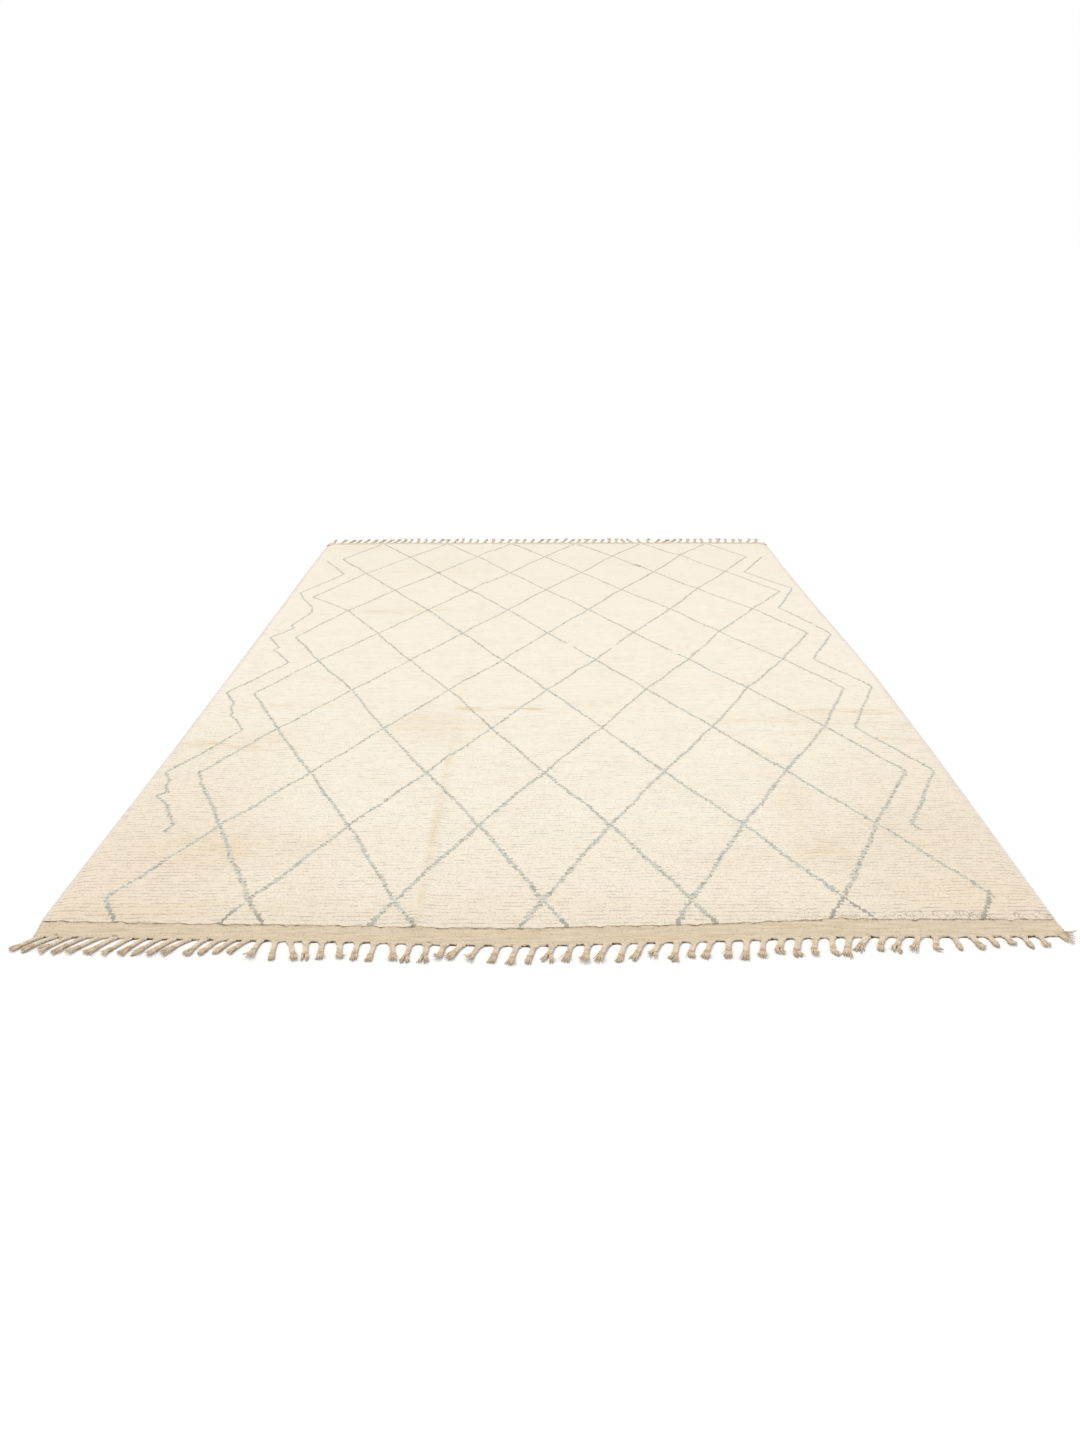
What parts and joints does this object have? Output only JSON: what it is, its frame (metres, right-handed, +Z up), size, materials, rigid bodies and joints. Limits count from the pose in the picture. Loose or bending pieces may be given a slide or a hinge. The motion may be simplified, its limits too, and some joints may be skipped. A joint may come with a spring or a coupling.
{
  "type": "hand-knotted rug",
  "caption": "Room-sized hand-knotted wool rug lying flat: low ivory pile, flat-woven ends with plaited fringe, and overcast side cords.",
  "frame": {"origin": "middle of the pile field, on the underside that lies on the floor", "axes": "+Z up out of the pile, +Y along the warps to the far fringe, +X across the rug to its bowed side"},
  "size_m": [3.0733, 4.2323, 0.0194],
  "materials": {
    "wool_pile": "clipped ivory wool pile with a pale grey-blue trellis",
    "flatweave": "undyed flat-woven ends and plaited warp fringe",
    "overcast_cord": "overcast wool side cord"
  },
  "bodies": {
    "root": {"pile_field": "wool_pile", "fringed_end_near": "flatweave", "fringed_end_far": "flatweave", "selvedge_left": "overcast_cord", "selvedge_right": "overcast_cord"}
  },
  "joints": []
}
